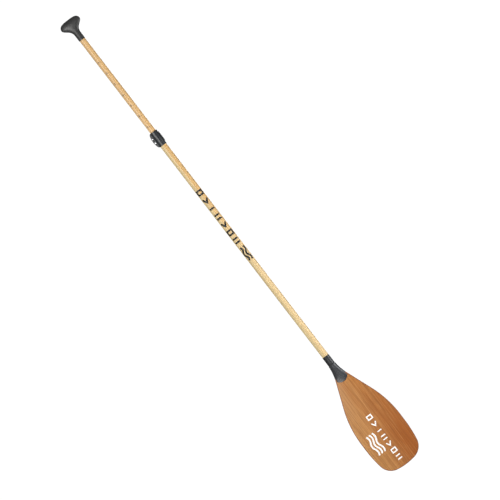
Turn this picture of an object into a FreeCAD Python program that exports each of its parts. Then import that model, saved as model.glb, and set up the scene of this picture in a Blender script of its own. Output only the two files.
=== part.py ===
import FreeCAD, Part
import math
import os
import re

import Sketcher
from FreeCAD import Placement, Rotation, Vector

# Adjustable stand-up paddle, standing upright: +Z runs up the shaft's axis to the palm grip, the
# blade hangs below, and its decorated face looks towards -Y. The origin is on the shaft's axis,
# where a rack's clip holds the lower shaft. Lengths are in millimetres.

doc = FreeCAD.newDocument("paddle")
sheet = doc.addObject("Spreadsheet::Sheet", "Dimensions")

DIMENSIONS = [
    ("lowerRadius", 13.5, "lower shaft over its veneer"),
    ("lowerBore", 12.5, "lower shaft's bore radius"),
    ("upperRadius", 12.2, "upper shaft over its veneer"),
    ("upperBore", 10.8, "upper shaft's bore radius"),
    ("veneer", 0.4, "veneer round the shafts"),
    ("glueGap", 0.05, "radial gap at glued plugs and running fits"),
    ("holeGap", 0.2, "radial gap round the screws, washers and heads"),
    ("bevel", 0.6, "bevel on turned parts"),
    ("clampBottom", 650, "height of the clamp's lower end"),
    ("clampLength", 63, "length of the clamp"),
    ("clampMiddle", 681.5, "height of the middle of the lugs and the lever"),
    ("clampBore", 14, "clamp body's bore radius"),
    ("clampEndRadius", 15.6, "clamp body's outer radius at its ends"),
    ("clampBulge", 1047, "radius of the clamp body's barrel curve"),
    ("clampGap", 3, "gap between the two lugs"),
    ("clampRound", 0.8, "rounding of the clamp body's ends"),
    ("linerSlot", 2, "slot along the clamp's liner"),
    ("lugReach", 24.3, "distance of the lugs' edge from the shaft's axis"),
    ("lugHalf", 30.6, "half length of the lugs"),
    ("lugBulge", 85, "radius of the lugs' curved edge"),
    ("lugCorner", 7, "radius of the lugs' corners"),
    ("lugFront", 8.5, "front lug's face, in front of the axis"),
    ("lugBack", 6.5, "back lug's face, behind the axis"),
    ("lugRound", 2.5, "rounding of the front lug"),
    ("lugBackRound", 0.8, "rounding of the back lug"),
    ("screwReach", 19.3, "distance of the clamp screws from the shaft's axis"),
    ("screwPitch", 17, "distance between the clamp screws"),
    ("screwRadius", 1.5, "clamp screw's thread"),
    ("headRadius", 3, "clamp screw's head"),
    ("headHeight", 2.2, "height of that head"),
    ("headProud", 0.1, "how far the heads stand out of the lug"),
    ("keyRadius", 1.3, "hexagonal socket in each head, to its corners"),
    ("keyDepth", 1.2, "depth of that socket"),
    ("washerRadius", 3.4, "washer"),
    ("washerThickness", 0.5, "washer's thickness"),
    ("camPlate", 1, "thickness of the cam plate"),
    ("camPlateHalf", 15, "half length of the cam plate"),
    ("leverPivot", 12.9, "lever axle's distance behind the shaft's axis"),
    ("axleRadius", 4, "lever axle"),
    ("kneeRadius", 5.2, "lever round its axle"),
    ("kneeHalf", 16, "half length of the lever's knuckle and its axle"),
    ("leverInner", 16.4, "lever's inner radius about the shaft's axis"),
    ("leverOuter", 19, "lever's outer radius, at the middle of its length"),
    ("leverEnd", 17.3, "lever's outer radius at its two edges"),
    ("leverHalf", 22, "half length of the lever along the shaft"),
    ("leverBulge", 143, "radius of the lever's barrel curve"),
    ("leverTip", -22, "direction of the lever's tip, from +X"),
    ("leverRoot", 148, "direction of the lever's root, from +X"),
    ("lipRadius", 1.5, "bead along the lever's tip"),
    ("lipInset", 2, "distance of that bead's ends from the lever's edges"),
    ("leverRound", 0.8, "rounding of the arm's two edges"),
    ("windowReach", 9, "reach of the lever's windows from its axle"),
    ("windowSlack", 0.5, "gap between a window and its screw"),
    ("slitWidth", 1.6, "slits in the lower shaft's end"),
    ("slitLength", 50, "length of those slits"),
    ("shaftTop", 710, "upper end of the lower shaft"),
    ("tailEnd", 541, "lower end of the handle half, inside the lower shaft"),
    ("tailFlange", 4, "thickness of the tail plug's flange"),
    ("ringLength", 15, "length that the tail plug leaves for the glide ring"),
    ("tailPlugDepth", 25, "length of the tail plug inside the tube"),
    ("ringEndGap", 0.15, "glide ring's end clearance"),
    ("socketBottom", 1150, "lower end of the grip's socket"),
    ("socketRadius", 13.4, "grip's socket, outside"),
    ("socketStraight", 28, "length of the socket's straight stretch"),
    ("socketTop", 1184, "upper end of the tube, inside the grip"),
    ("spigotTop", 1192, "upper end of the grip's spigot"),
    ("spigotBottom", 1135, "lower end of the grip's spigot"),
    ("gripWall", 3, "wall of the grip's shells"),
    ("gripScrewHeight", 1158, "height of the screw that holds the grip"),
    ("gripScrewSeat", 12.6, "depth of that screw's flat seat, in front of the axis"),
    ("gripScrewTip", 6.8, "tip of that screw, in front of the axis"),
    ("gripScrewCap", 2.8, "head of that screw"),
    ("gripScrewCapHeight", 1.1, "height of that head"),
    ("smallScrew", 1.5, "thread of the grip's screws"),
    ("shellScrewReach", 26, "distance of the shell screws from the axis"),
    ("shellScrewHeight", 1219, "height of the shell screws"),
    ("shellScrewCap", 3, "shell screw's head"),
    ("shellScrewCapHeight", 2, "height of that head"),
    ("slotWidth", 0.8, "slot across that head"),
    ("slotDepth", 1, "depth of that slot"),
    ("bossRadius", 4.4, "bosses round the shell screws"),
    ("bossSeat", 6, "seat of their heads, behind the axis"),
    ("bossTip", 8.8, "end of their threads, in front of the axis"),
    ("neckTop", -351, "upper end of the neck sleeve"),
    ("seam", -391, "lower end of the shaft and the sleeve"),
    ("sleeveRadius", 14.4, "neck sleeve, outside"),
    ("seamGroove", 1, "depth of the groove at the sleeve's lower end"),
    ("neckRadius", 15.5, "blade neck at the seam"),
    ("neckFlare", 0.01386, "growth of the neck's half width"),
    ("neckPower", 1.664, "power of that growth"),
    ("neckThinning", 6.9, "loss of the neck's half thickness"),
    ("neckLength", 79, "length over which the neck thins"),
    ("tongueRadius", 30, "rounded end of the neck's tongues"),
    ("tongueCentre", -437.2, "height of the centre of that round"),
    ("neckSpigotTop", -320, "upper end of the neck's spigot"),
    ("neckSpigotBottom", -412, "lower end of the neck's spigot"),
    ("foamLength", 40, "length of the foam plug"),
    ("bladeTip", -855.5, "lowest point of the blade"),
    ("tipRadius", 222, "curve of the blade's tip"),
    ("tipTurn", 10.4, "half angle of that curve"),
    ("cornerRadius", 57.5, "blade's lower corners"),
    ("sideRadius", 467, "blade's lower sides"),
    ("sideTurn", 10, "angle of those sides"),
    ("sideRun", 30, "straight run at the blade's widest place"),
    ("shoulderRadius", 401, "curve from the sides to the neck"),
    ("shoulderTurn", 21.2, "angle of that curve"),
    ("shoulderRun", 115, "straight run to the neck"),
    ("tangHalf", 14, "half width of the blade's tang inside the neck"),
    ("tangTop", -420, "upper end of the tang"),
    ("bendTop", -409, "where the blade's line leaves the shaft's axis"),
    ("bendBottom", -465, "where its rake is steepest"),
    ("neckRake", 12, "rake at that place, in degrees"),
    ("tipRake", 6.5, "rake at the tip, in degrees"),
    ("edgeWidth", 2.5, "width of the edge guard"),
    ("bladeVeneer", 0.6, "veneer on the blade's faces"),
    ("glueLine", 0.02, "glue between the blade's core and its veneers"),
    ("bladeEdge", 3.6, "thickness of the blade at its edges"),
    ("rimRound", 1.2, "rounding of the blade's rim"),
    ("cutMargin", 5, "how far a cutting shape reaches past what it cuts"),
]


def fill_sheet():
    """Write each driving dimension as a plain number with its alias and meaning."""
    for row, (alias, number, meaning) in enumerate(DIMENSIONS, start=1):
        sheet.set(f"A{row}", meaning)
        sheet.set(f"B{row}", str(number))
        sheet.setAlias(f"B{row}", alias)
    doc.recompute()


def bind(text):
    """Turn the aliases in a formula into references to the sheet."""
    names = {alias for alias, _, _ in DIMENSIONS}
    return re.sub(r"[A-Za-z]+", lambda word: ("Dimensions." if word[0] in names else "") + word[0],
                  text)


def size(text):
    """Value of a formula of the sheet's aliases."""
    return float(sheet.evalExpression(bind(text)))


# ---- sketches and features ----------------------------------------------------------------


def new_body(label):
    """PartDesign body for one sub-part."""
    body = doc.addObject("PartDesign::Body", label)
    body.Label = label
    return body


def new_sketch(body, role, offset="0", turn=0):
    """Sketch on one of the body's origin planes, shifted along its normal and turned about Z."""
    sketch = body.newObject("Sketcher::SketchObject", body.Name + "_sketch")
    plane = next(item for item in body.Origin.OriginFeatures if item.Role == role)
    sketch.AttachmentSupport = [(plane, "")]
    sketch.MapMode = "FlatFace"
    sketch.AttachmentOffset = Placement(Vector(0, 0, 0), Rotation(Vector(0, 1, 0), turn))
    sketch.setExpression("AttachmentOffset.Base.z", bind(offset))
    return sketch


def tie(sketch, kind, geometry, point, formula):
    """Hold a point's distance from the sketch's origin to a formula of the sheet."""
    number = size(formula)
    if abs(number) < 1e-9:
        axis = -2 if kind == "DistanceX" else -1
        sketch.addConstraint(Sketcher.Constraint("PointOnObject", geometry, point, axis))
        return
    index = sketch.addConstraint(Sketcher.Constraint(kind, -1, 1, geometry, point, number))
    sketch.setExpression(f"Constraints[{index}]", bind(formula))


def draw_circle(sketch, x, y, radius):
    """Circle whose centre and radius follow the sheet."""
    circle = Part.Circle(Vector(size(x), size(y), 0), Vector(0, 0, 1), size(radius))
    geometry = sketch.addGeometry(circle)
    tie(sketch, "DistanceX", geometry, 3, x)
    tie(sketch, "DistanceY", geometry, 3, y)
    index = sketch.addConstraint(Sketcher.Constraint("Radius", geometry, size(radius)))
    sketch.setExpression(f"Constraints[{index}]", bind(radius))


def draw_outline(sketch, corners):
    """Closed outline through corners (x, y). A corner (x, y, radius) starts an arc to the next
    corner, with its centre on the left of the way round, or on the right as (x, y, radius, -1)."""
    count = len(corners)
    places = [Vector(size(corner[0]), size(corner[1]), 0) for corner in corners]
    first_ends = []
    for index, corner in enumerate(corners):
        start = places[index]
        end = places[(index + 1) % count]
        if len(corner) == 2:
            sketch.addGeometry(Part.LineSegment(start, end))
            first_ends.append(1)
            continue
        radius = size(corner[2])
        side = corner[3] if len(corner) == 4 else 1
        chord = end - start
        normal = Vector(-chord.y, chord.x, 0).normalize() * side
        centre = (start + end) / 2 + normal * math.sqrt(radius ** 2 - (chord.Length / 2) ** 2)
        angles = [math.atan2(place.y - centre.y, place.x - centre.x) for place in (start, end)]
        circle = Part.Circle(centre, Vector(0, 0, 1), radius)
        sketch.addGeometry(Part.ArcOfCircle(circle, *(angles if side == 1 else reversed(angles))))
        first_ends.append(1 if side == 1 else 2)
        number = sketch.addConstraint(Sketcher.Constraint("Radius", index, radius))
        sketch.setExpression(f"Constraints[{number}]", bind(corner[2]))
    for index, corner in enumerate(corners):
        following = (index + 1) % count
        sketch.addConstraint(Sketcher.Constraint(
            "Coincident", index, 3 - first_ends[index], following, first_ends[following]))
        tie(sketch, "DistanceX", index, first_ends[index], corner[0])
        tie(sketch, "DistanceY", index, first_ends[index], corner[1])


def draw_box(sketch, left, right, low, high):
    """Rectangle between two widths and two heights."""
    draw_outline(sketch, [(left, low), (right, low), (right, high), (left, high)])


def pad(body, sketch, length, back=None):
    """Pad along the sketch's normal by length, and by back the other way; half and half with
    back="same"."""
    feature = body.newObject("PartDesign::Pad", body.Name + "_pad")
    feature.Profile = sketch
    feature.setExpression("Length", bind(length))
    if back == "same":
        feature.SideType = "Symmetric"
    elif back:
        feature.SideType = "Two sides"
        feature.setExpression("Length2", bind(back))
    doc.recompute()
    return feature


def pocket(body, sketch, length, symmetric=True):
    """Cut the sketch out of the body, both ways or against the sketch's normal."""
    before = body.Shape.Volume
    feature = body.newObject("PartDesign::Pocket", body.Name + "_pocket")
    feature.Profile = sketch
    feature.setExpression("Length", bind(length))
    if symmetric:
        feature.SideType = "Symmetric"
    doc.recompute()
    if body.Shape.Volume > before - 1e-3:
        raise RuntimeError(f"{feature.Name} cuts nothing")
    return feature


def revolution(body, sketch, angle=None):
    """Turn the sketch about its vertical axis, which is the shaft's axis: the full circle, or an
    angle shared between both sides of the sketch."""
    feature = body.newObject("PartDesign::Revolution", body.Name + "_revolution")
    feature.Profile = sketch
    feature.ReferenceAxis = (sketch, ["V_Axis"])
    if angle:
        feature.Midplane = True
        feature.setExpression("Angle", bind(angle))
    doc.recompute()
    return feature


def round_edges(body, radius, chosen):
    """Fillet the edges of the body for which chosen(edge) is true."""
    base = body.Tip
    edges = [f"Edge{number}" for number, edge in enumerate(base.Shape.Edges, start=1)
             if chosen(edge)]
    feature = body.newObject("PartDesign::Fillet", body.Name + "_fillet")
    feature.Base = (base, edges)
    feature.setExpression("Radius", bind(radius))
    doc.recompute()
    return feature


def turned(label, corners):
    """Sub-part turned about the shaft's axis from an outline of (radius, height)."""
    body = new_body(label)
    sketch = new_sketch(body, "XZ_Plane")
    draw_outline(sketch, corners)
    revolution(body, sketch)
    return body


def rod(label, radius, bottom, top):
    """Plain round rod on the shaft's axis."""
    body = new_body(label)
    sketch = new_sketch(body, "XY_Plane", bottom)
    draw_circle(sketch, "0", "0", radius)
    pad(body, sketch, f"{top} - ({bottom})")
    return body


def tube(label, outer, bore, bottom, top):
    """Round tube on the shaft's axis."""
    body = new_body(label)
    sketch = new_sketch(body, "XY_Plane", bottom)
    draw_circle(sketch, "0", "0", outer)
    draw_circle(sketch, "0", "0", bore)
    pad(body, sketch, f"{top} - ({bottom})")
    return body


def put(shape, place, direction):
    """Stand a Part primitive on a place given as three formulas, along a direction."""
    shape.Placement.Rotation = Rotation(Vector(0, 0, 1), direction)
    for axis, formula in zip("xyz", place):
        shape.setExpression(f"Placement.Base.{axis}", bind(formula))


def cylinder(name, radius, length, place, direction):
    """Round Part primitive along a direction, from a place given as three formulas."""
    shape = doc.addObject("Part::Cylinder", name)
    put(shape, place, direction)
    shape.setExpression("Radius", bind(radius))
    shape.setExpression("Height", bind(length))
    return shape


def joined(name, shapes):
    """Fuse of several shapes."""
    fuse = doc.addObject("Part::MultiFuse", name)
    fuse.Shapes = shapes
    return fuse


def without(name, base, tool):
    """Shape less a tool."""
    cut = doc.addObject("Part::Cut", name)
    cut.Base = base
    cut.Tool = tool
    return cut


def mirrored_pair(label, single, normal, middle):
    """Group of a piece and its mirror image across a plane, kept as separate solids."""
    twin = doc.addObject("Part::Mirroring", label + "_twin")
    twin.Source = single
    twin.Normal = normal
    twin.Base = middle
    group = doc.addObject("Part::Compound", label)
    group.Label = label
    group.Links = [single, twin]
    return group


def free_form(label, shape):
    """Sub-part whose shape is lofted in code from the sheet's sizes."""
    feature = doc.addObject("Part::Feature", label)
    feature.Label = label
    feature.Shape = shape
    feature.Placement = Placement()
    return feature


# ---- shafts -------------------------------------------------------------------------------


def slit_top(body):
    """Three slits in the lower shaft's end, which let the clamp squeeze it."""
    for turn in (0, 120, 240):
        sketch = new_sketch(body, "XZ_Plane", turn=turn)
        draw_box(sketch, "0 - lowerRadius - cutMargin", "0 - lowerBore + cutMargin",
                 "shaftTop - slitLength", "shaftTop + cutMargin")
        pocket(body, sketch, "slitWidth")


def make_shafts():
    """Telescoping tubes, each a laminated core in a wood veneer."""
    core = tube("lower_shaft_core", "lowerRadius - veneer", "lowerBore", "seam", "shaftTop")
    skin = tube("lower_shaft_veneer", "lowerRadius", "lowerRadius - veneer", "neckTop", "shaftTop")
    slit_top(core)
    slit_top(skin)
    tube_end = "tailEnd + tailFlange + ringLength"
    upper = tube("upper_shaft_core", "upperRadius - veneer", "upperBore", tube_end, "socketTop")
    upper_skin = tube("upper_shaft_veneer", "upperRadius", "upperRadius - veneer", tube_end,
                      "socketBottom")
    screw_hole = new_sketch(upper, "XZ_Plane", "upperRadius")
    draw_circle(screw_hole, "0", "gripScrewHeight", "smallScrew")
    pocket(upper, screw_hole, "upperRadius", symmetric=False)
    foam = rod("shaft_foam_plug", "lowerBore - glueGap", "neckSpigotTop",
               "neckSpigotTop + foamLength")
    return [core, skin, upper, upper_skin, foam]


def make_tail():
    """Tail plug in the upper shaft's end, with the glide ring that turns on its journal."""
    journal = "upperBore + glueGap"
    flange_top = "tailEnd + tailFlange"
    tube_end = f"{flange_top} + ringLength"
    plug = turned("tail_plug", [
        ("0", "tailEnd"),
        ("upperRadius - bevel", "tailEnd"),
        ("upperRadius", "tailEnd + bevel"),
        ("upperRadius", flange_top),
        (journal, flange_top),
        (journal, tube_end),
        ("upperBore - glueGap", tube_end),
        ("upperBore - glueGap", f"{tube_end} + tailPlugDepth"),
        ("0", f"{tube_end} + tailPlugDepth"),
    ])
    ring_low = f"{flange_top} + ringEndGap"
    ring_high = f"{tube_end} - ringEndGap"
    ring = turned("glide_ring", [
        (f"{journal} + glueGap", ring_low),
        ("lowerBore - glueGap - bevel", ring_low),
        ("lowerBore - glueGap", f"{ring_low} + bevel * 2"),
        ("lowerBore - glueGap", f"{ring_high} - bevel * 2"),
        ("lowerBore - glueGap - bevel", ring_high),
        (f"{journal} + glueGap", ring_high),
    ])
    return [plug, ring]


# ---- clamp --------------------------------------------------------------------------------

SCREW_HEIGHTS = ("clampMiddle - screwPitch / 2", "clampMiddle + screwPitch / 2")
SCREW_CLEARANCE = "screwRadius + holeGap"
SCREW_SEAT = "headHeight + washerThickness - headProud"
TOUCH = 0.01


def make_clamp_body():
    """Barrel-shaped split collar with a front and a back lug at -X."""
    body = new_body("clamp_body")
    lugs = new_sketch(body, "XZ_Plane")
    corner_height = "(lugHalf - lugCorner)"
    corner_side = f"sqrt((lugBulge - lugCorner)^2 - {corner_height}^2)"
    growth = "lugBulge / (lugBulge - lugCorner)"
    side = f"lugBulge - lugReach - {corner_side}"
    edge = f"lugBulge - lugReach - {corner_side} * {growth}"
    draw_outline(lugs, [
        ("0", "clampMiddle - lugHalf"),
        ("0", "clampMiddle + lugHalf"),
        (side, "clampMiddle + lugHalf", "lugCorner"),
        (edge, f"clampMiddle + {corner_height} * {growth}", "lugBulge"),
        (edge, f"clampMiddle - {corner_height} * {growth}", "lugCorner"),
        (side, "clampMiddle - lugHalf"),
    ])
    pad(body, lugs, "lugFront", "lugBack")
    round_edges(body, "lugRound", on_lug("0 - lugFront"))
    round_edges(body, "lugBackRound", on_lug("lugBack"))
    barrel = new_sketch(body, "XZ_Plane")
    clamp_top = "clampBottom + clampLength"
    draw_outline(barrel, [
        ("0", "clampBottom"),
        ("clampEndRadius - clampRound", "clampBottom", "clampRound"),
        ("clampEndRadius", "clampBottom + clampRound", "clampBulge"),
        ("clampEndRadius", f"{clamp_top} - clampRound", "clampRound"),
        ("clampEndRadius - clampRound", clamp_top),
        ("0", clamp_top),
    ])
    revolution(body, barrel)
    bore = new_sketch(body, "XY_Plane", clamp_top)
    draw_circle(bore, "0", "0", "clampBore")
    pocket(body, bore, "clampLength * 3")
    split(body, "clampGap")
    holes = new_sketch(body, "XZ_Plane")
    for height in SCREW_HEIGHTS:
        draw_circle(holes, "0 - screwReach", height, SCREW_CLEARANCE)
    pocket(body, holes, "lugFront * 6")
    seats = new_sketch(body, "XZ_Plane", "lugFront")
    for height in SCREW_HEIGHTS:
        draw_circle(seats, "0 - screwReach", height, "washerRadius + holeGap")
    pocket(body, seats, SCREW_SEAT, symmetric=False)
    return body


def on_lug(depth):
    """Test for the outer edges of the lugs' face at a depth."""
    face = size(depth)

    def chosen(edge):
        box = edge.BoundBox
        flat = abs(box.YMin - face) < TOUCH and abs(box.YMax - face) < TOUCH
        return flat and box.XMin < -TOUCH
    return chosen


def split(body, width):
    """Slot at -X along the whole clamp."""
    sketch = new_sketch(body, "XZ_Plane")
    draw_box(sketch, "0 - lugReach - cutMargin", "0 - clampBore + cutMargin",
             "clampBottom - cutMargin", "clampBottom + clampLength + cutMargin")
    pocket(body, sketch, width)


def make_clamp_liner():
    """Thin split liner between clamp and lower shaft, with a lip over the shaft's end."""
    top = "clampBottom + clampLength"
    liner = turned("clamp_liner", [
        ("lowerRadius", "clampBottom + holeGap"),
        ("clampBore", "clampBottom + holeGap"),
        ("clampBore", top),
        ("lowerBore + glueGap * 2", top),
        ("lowerBore + glueGap * 2", "shaftTop + holeGap"),
        ("lowerRadius", "shaftTop + holeGap"),
    ])
    split(liner, "linerSlot")
    return liner


WINDOW_TURNS = (105, 160, 215, 270, 315)


def make_clamp_lever():
    """Cam lever: a knuckle round the axle, a web, and an arm that wraps round the collar."""
    body = new_body("clamp_lever")
    middle_turn = size("(leverTip + leverRoot) / 2")
    arm = new_sketch(body, "XZ_Plane", turn=middle_turn)
    draw_outline(arm, [
        ("leverInner", "clampMiddle - leverHalf"),
        ("leverEnd", "clampMiddle - leverHalf", "leverBulge"),
        ("leverEnd", "clampMiddle + leverHalf"),
        ("leverInner", "clampMiddle + leverHalf"),
    ])
    revolution(body, arm, "leverRoot - leverTip")
    round_edges(body, "leverRound", on_arm_edge)

    knuckle = new_sketch(body, "XY_Plane", "clampMiddle")
    draw_circle(knuckle, "0 - screwReach", "leverPivot", "kneeRadius")
    pad(body, knuckle, "kneeHalf * 2", "same")

    # The web fills the space between the knuckle, the arm and the line that touches both.
    reach = math.hypot(size("screwReach"), size("leverPivot"))
    bearing = math.degrees(math.atan2(size("leverPivot"), -size("screwReach")))
    web_radius = "(leverOuter + leverEnd) / 2"
    touch = bearing - math.degrees(math.acos(size(f"{web_radius} - kneeRadius") / reach))
    web = new_sketch(body, "XY_Plane", "clampMiddle")
    draw_outline(web, [
        (f"{web_radius} * cos({touch} deg)", f"{web_radius} * sin({touch} deg)"),
        (f"kneeRadius * cos({touch} deg) - screwReach",
         f"leverPivot + kneeRadius * sin({touch} deg)"),
        ("0 - screwReach", "leverPivot"),
        ("leverInner * cos(leverRoot * 1 deg)", "leverInner * sin(leverRoot * 1 deg)"),
    ])
    pad(body, web, "kneeHalf * 2", "same")

    lip = new_sketch(body, "XY_Plane", "clampMiddle")
    lip_radius = "(leverInner + lipRadius)"
    draw_circle(lip, f"{lip_radius} * cos(leverTip * 1 deg)",
                f"{lip_radius} * sin(leverTip * 1 deg)", "lipRadius")
    pad(body, lip, "leverHalf * 2 - lipInset * 2", "same")

    inside = new_sketch(body, "XY_Plane", "clampMiddle")
    draw_circle(inside, "0", "0", "leverInner")
    pocket(body, inside, "leverHalf * 3")
    bore = new_sketch(body, "XY_Plane", "clampMiddle")
    draw_circle(bore, "0 - screwReach", "leverPivot", "axleRadius + glueGap")
    pocket(body, bore, "kneeHalf * 3")

    # Two windows let the lever swing past the screws.
    for height in SCREW_HEIGHTS:
        window = new_sketch(body, "XY_Plane", height)
        draw_outline(window, [("0 - screwReach", "leverPivot")] + [
            (f"windowReach * cos({turn} deg) - screwReach",
             f"windowReach * sin({turn} deg) + leverPivot") for turn in WINDOW_TURNS])
        pocket(body, window, "screwRadius * 2 + windowSlack * 2")
    return body


def on_arm_edge(edge):
    """True for the outer edges along the top and the bottom of the lever's arm."""
    if edge.Curve.TypeId != "Part::GeomCircle":
        return False
    return abs(edge.Curve.Radius - size("leverEnd")) < TOUCH


def make_lever_axle():
    """Barrel nut that the screws pull on and the lever turns on."""
    body = new_body("lever_axle")
    sketch = new_sketch(body, "XY_Plane", "clampMiddle")
    draw_circle(sketch, "0 - screwReach", "leverPivot", "axleRadius")
    pad(body, sketch, "kneeHalf * 2", "same")
    holes = new_sketch(body, "XZ_Plane")
    for height in SCREW_HEIGHTS:
        draw_circle(holes, "0 - screwReach", height, "screwRadius")
    pocket(body, holes, "leverPivot * 4")
    return body


def make_cam_plate():
    """Wear plate on the back lug, under the lever's cam."""
    body = new_body("cam_plate")
    sketch = new_sketch(body, "XZ_Plane", "0 - lugBack - camPlate")
    draw_box(sketch, "holeGap - lugReach", "kneeRadius - camPlate - screwReach",
             "clampMiddle - camPlateHalf", "clampMiddle + camPlateHalf")
    for height in SCREW_HEIGHTS:
        draw_circle(sketch, "0 - screwReach", height, SCREW_CLEARANCE)
    pad(body, sketch, "camPlate")
    return body


RIM_SHARE = 0.4
DOME_SHARE = 0.6


def make_clamp_screws():
    """Two button-head screws along Y, with a socket in each head, and their washers."""
    height = SCREW_HEIGHTS[0]
    middle = Vector(0, 0, size("clampMiddle"))
    front = Vector(0, -1, 0)
    seat = "0 - lugFront + headHeight - headProud"
    tip = "leverPivot + axleRadius * 0.75"
    shank = cylinder("clamp_screw_shank", "screwRadius", f"{tip} - ({seat})",
                     ("0 - screwReach", tip, height), front)
    rim = cylinder("clamp_screw_rim", "headRadius", f"headHeight * {RIM_SHARE}",
                   ("0 - screwReach", seat, height), front)
    dome = doc.addObject("Part::Cone", "clamp_screw_dome")
    put(dome, ("0 - screwReach", f"{seat} - headHeight * {RIM_SHARE}", height), front)
    dome.setExpression("Radius1", bind("headRadius"))
    dome.setExpression("Radius2", bind(f"headRadius * {DOME_SHARE}"))
    dome.setExpression("Height", bind(f"headHeight * (1 - {RIM_SHARE})"))
    socket = doc.addObject("Part::Prism", "clamp_screw_socket")
    socket.Polygon = 6
    put(socket, ("0 - screwReach", f"{seat} - headHeight + keyDepth", height), front)
    socket.setExpression("Circumradius", bind("keyRadius"))
    socket.setExpression("Height", bind("keyDepth + cutMargin"))
    screw = without("clamp_screw", joined("clamp_screw_blank", [shank, rim, dome]), socket)
    screws = mirrored_pair("clamp_screws", screw, Vector(0, 0, 1), middle)

    disc = cylinder("washer_disc", "washerRadius", "washerThickness",
                    ("0 - screwReach", f"{seat} + washerThickness", height), front)
    hole = cylinder("washer_hole", SCREW_CLEARANCE, "washerThickness * 3",
                    ("0 - screwReach", f"{seat} + washerThickness * 2", height), front)
    washer = without("screw_washer", disc, hole)
    washers = mirrored_pair("screw_washers", washer, Vector(0, 0, 1), middle)
    return [screws, washers]


# ---- grip ---------------------------------------------------------------------------------

# Height, half width, half thickness and squareness of the palm grip above its round socket.
PALM_STATIONS = [
    (1188, 15.3, 13.4, 2.0),
    (1196, 19.7, 13.5, 2.1),
    (1204, 27.8, 13.8, 2.2),
    (1212, 37.6, 14.3, 2.4),
    (1219, 42.5, 14.6, 2.5),
    (1226, 42.6, 14.2, 2.5),
    (1233, 39.2, 12.4, 2.5),
    (1238, 32.5, 9.2, 2.4),
    (1240.5, 24.0, 6.0, 2.4),
    (1241.5, 12.0, 3.0, 2.4),
]
HOLLOW_STATIONS = PALM_STATIONS[2:8]
SOCKET_SECTIONS = 6
SECTION_POINTS = 24


def grip_loft(stations, inset):
    """Loft through rounded-rectangle sections, drawn in by inset."""
    wires = []
    for height, half_width, half_depth, squareness in stations:
        points = []
        for index in range(SECTION_POINTS):
            angle = 2 * math.pi * (index + 0.5) / SECTION_POINTS
            power = 2 / squareness
            across = math.copysign(abs(math.cos(angle)) ** power, math.cos(angle))
            through = math.copysign(abs(math.sin(angle)) ** power, math.sin(angle))
            points.append(Vector((half_width - inset) * across, (half_depth - inset) * through,
                                 height))
        curve = Part.BSplineCurve()
        curve.interpolate(points, PeriodicFlag=True)
        wires.append(Part.Wire([curve.toShape()]))
    return Part.makeLoft(wires, True, False)


def upright_rod(radius, bottom, top):
    """Solid round rod on the shaft's axis."""
    return Part.makeCylinder(radius, top - bottom, Vector(0, 0, bottom))


def shell_rod(radius, side, back, front):
    """Solid round rod along Y through one of the shell screws' places."""
    place = Vector(side * size("shellScrewReach"), front, size("shellScrewHeight"))
    return Part.makeCylinder(radius, back - front, place, Vector(0, 1, 0))


OUTSIDE = 100


def make_grip():
    """T-shaped palm grip: two hollow shells screwed together, on a spigot in the tube's end."""
    radius = size("socketRadius")
    step = size("socketStraight") / (SOCKET_SECTIONS - 1)
    straight = [(size("socketBottom") + index * step, radius, radius, 2.0)
                for index in range(SOCKET_SECTIONS)]
    outer = grip_loft(straight + PALM_STATIONS, 0)
    hollow = grip_loft(HOLLOW_STATIONS, size("gripWall"))
    bore = upright_rod(size("upperRadius - veneer + glueGap"), size("socketBottom"),
                       size("socketTop"))
    spigot_bore = upright_rod(size("upperBore"), size("socketTop"), size("spigotTop"))
    screw_start = Vector(0, -OUTSIDE, size("gripScrewHeight"))
    grip_screw_way = Part.makeCylinder(size("smallScrew"), OUTSIDE, screw_start, Vector(0, 1, 0))
    grip_screw_seat = Part.makeCylinder(size("gripScrewCap + holeGap"),
                                        OUTSIDE - size("gripScrewSeat"), screw_start,
                                        Vector(0, 1, 0))
    bosses = [shell_rod(size("bossRadius"), side, OUTSIDE, -OUTSIDE) for side in (-1, 1)]
    blank = outer.cut(hollow.cut(bosses))
    blank = blank.cut([bore, spigot_bore, grip_screw_way, grip_screw_seat])
    screw_ways = []
    for side in (-1, 1):
        screw_ways.append(shell_rod(size("smallScrew"), side, size("bossSeat"), -size("bossTip")))
        screw_ways.append(shell_rod(size("shellScrewCap + holeGap"), side, OUTSIDE,
                                    size("bossSeat")))
    blank = blank.cut(screw_ways)
    half_space = Part.makeBox(OUTSIDE * 2, OUTSIDE, OUTSIDE * 2,
                              Vector(-OUTSIDE, -OUTSIDE, size("socketBottom - cutMargin")))
    front = free_form("grip_front_shell", blank.common(half_space))
    back = free_form("grip_back_shell", blank.cut(half_space))
    spigot = rod("grip_spigot", "upperBore - glueGap", "spigotBottom", "spigotTop")
    screw_hole = new_sketch(spigot, "XZ_Plane")
    draw_circle(screw_hole, "0", "gripScrewHeight", "smallScrew")
    pocket(spigot, screw_hole, "upperBore * 2")
    return [front, back, spigot]


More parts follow.
